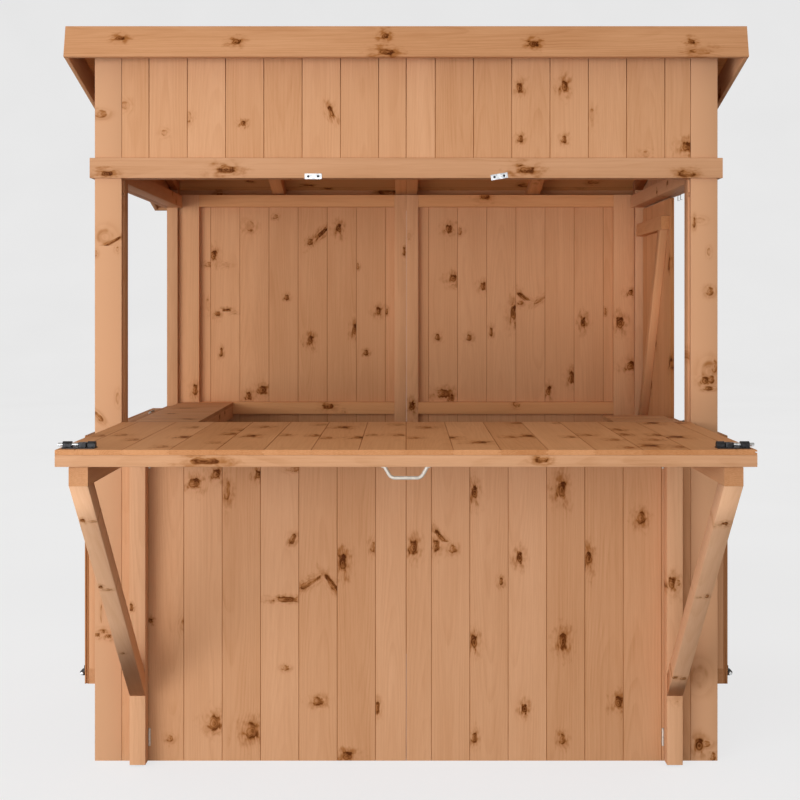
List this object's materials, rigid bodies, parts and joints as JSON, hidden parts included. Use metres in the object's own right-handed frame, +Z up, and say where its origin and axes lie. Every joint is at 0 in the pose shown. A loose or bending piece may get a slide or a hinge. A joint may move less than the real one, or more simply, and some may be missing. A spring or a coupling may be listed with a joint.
{
  "type": "outdoor garden bar",
  "caption": "Small boarded timber bar house with a pent roof, a hinged counter flap on swing brackets, side hatches and a braced side door.",
  "frame": {"origin": "middle of the base of the whole box, on the ground", "axes": "+X to the right seen from the front, +Y to the back, +Z up; the counter and serving opening face -Y"},
  "size_m": [1.94, 2.027, 2.1112],
  "materials": {
    "wood": "stained softwood, satin",
    "zinc": "bright zinc plate",
    "black_steel": "black paint",
    "felt": "mineral roofing felt"
  },
  "bodies": {
    "building": {"front_wall_left": "wood", "front_wall_right": "wood", "front_header_left": "wood", "front_header_right": "wood", "back_wall_left": "wood", "back_wall_right": "wood", "front_post_left": "wood", "front_post_right": "wood", "rear_post_left": "wood", "rear_post_right": "wood", "side_wall_left": "wood", "side_wall_right": "wood", "gable_left": "wood", "gable_right": "wood", "header_trim_front": "wood", "header_trim_left": "wood", "header_trim_right": "wood", "shelf_left": "wood", "shelf_right": "wood", "roof_deck": "wood", "roof_felt": "felt", "rafter_left": "wood", "rafter_right": "wood", "rafter_centre_left": "wood", "rafter_centre_right": "wood", "barge_left": "wood", "barge_right": "wood", "fascia_front": "wood", "fascia_back": "wood", "bracket_hinge_left_low": "zinc", "bracket_hinge_left_high": "zinc", "bracket_hinge_right_low": "zinc", "bracket_hinge_right_high": "zinc", "catch_front_left": "zinc", "catch_front_right": "zinc", "catch_side_right": "zinc"},
    "counter": {"counter_flap": "wood", "counter_handle": "zinc", "bolt_plate_left": "black_steel", "bolt_plate_right": "black_steel", "counter_hinge_left": "zinc", "counter_hinge_right": "zinc"},
    "left_bolt": {"bolt_left": "zinc"},
    "right_bolt": {"bolt_right": "zinc"},
    "left_bracket": {"bracket_left": "wood"},
    "right_bracket": {"bracket_right": "wood"},
    "left_hatch": {"side_flap_left": "wood", "hatch_hinge_left_front": "zinc", "hatch_hinge_left_rear": "zinc"},
    "right_hatch": {"side_flap_right": "wood", "hatch_hinge_right_front": "zinc", "hatch_hinge_right_rear": "zinc"},
    "side_door": {"door": "wood", "door_hinge_low": "zinc", "door_hinge_high": "zinc"}
  },
  "joints": [
    {"name": "counter_hinge", "type": "hinge", "parent": "building", "child": "counter", "pos_m": [0, -0.28129, 0.9445], "axis": [-1, 0, 0], "range_deg": [0, 90]},
    {"name": "left_bolt_slide", "type": "slide", "parent": "counter", "child": "left_bolt", "axis": [-1, 0, 0], "range_m": [0, 0.014]},
    {"name": "right_bolt_slide", "type": "slide", "parent": "counter", "child": "right_bolt", "axis": [1, 0, 0], "range_m": [0, 0.014]},
    {"name": "left_bracket_hinge", "type": "hinge", "parent": "building", "child": "left_bracket", "pos_m": [-0.741, -0.27998, 0.005], "axis": [0, 0, 1], "range_deg": [0, 90]},
    {"name": "right_bracket_hinge", "type": "hinge", "parent": "building", "child": "right_bracket", "pos_m": [0.741, -0.27998, 0.005], "axis": [0, 0, -1], "range_deg": [0, 90]},
    {"name": "left_hatch_hinge", "type": "hinge", "parent": "building", "child": "left_hatch", "pos_m": [-0.906, -0.18299, 0.936], "axis": [0, 1, 0], "range_deg": [0, 180]},
    {"name": "right_hatch_hinge", "type": "hinge", "parent": "building", "child": "right_hatch", "pos_m": [0.906, -0.18299, 0.936], "axis": [0, -1, 0], "range_deg": [0, 180]},
    {"name": "door_hinge", "type": "hinge", "parent": "building", "child": "side_door", "pos_m": [0.906, 0.85801, 0.012], "axis": [0, 0, 1], "range_deg": [0, 100]}
  ]
}
